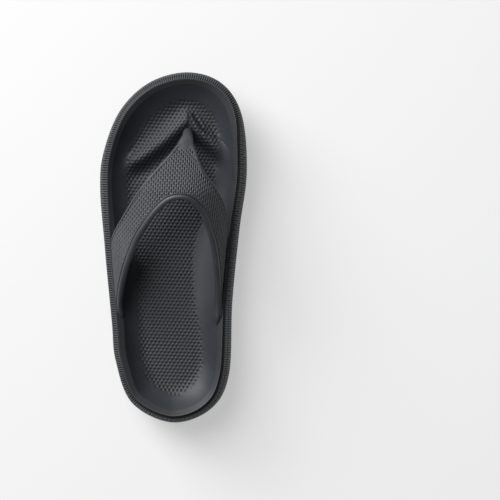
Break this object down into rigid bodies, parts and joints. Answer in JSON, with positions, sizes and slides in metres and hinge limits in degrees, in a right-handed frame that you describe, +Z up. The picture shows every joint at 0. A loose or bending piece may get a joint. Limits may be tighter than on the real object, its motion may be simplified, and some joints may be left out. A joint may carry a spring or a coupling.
{
  "type": "flip flop",
  "caption": "Thick cushioned thong sandal, left foot: rocker sole with a bulging wall, cupped footbed, arched V strap and toe post.",
  "frame": {"origin": "on the ground under the middle of the shoe's bounding box", "axes": "+Z up; the toe points along -Y and the heel along +Y; +X is the outer, little-toe side"},
  "size_m": [0.1124, 0.2679, 0.0894],
  "materials": {
    "outsole_rubber": "matte, slightly darker than the foam",
    "midsole_foam": "matte moulded foam with a woven-look relief",
    "footbed_foam": "matte moulded foam with small hexagonal dimples",
    "strap_foam": "matte moulded foam with a woven-look relief",
    "piping_foam": "smooth satin foam bead",
    "anchor_plastic": "plain hidden plastic"
  },
  "bodies": {
    "root": {"outsole": "outsole_rubber", "midsole": "midsole_foam", "footbed": "footbed_foam", "strap": "strap_foam", "strap_piping": "piping_foam", "toe_post": "strap_foam", "toe_post_washer": "anchor_plastic", "outer_strap_anchor": "anchor_plastic", "inner_strap_anchor": "anchor_plastic"}
  },
  "joints": []
}
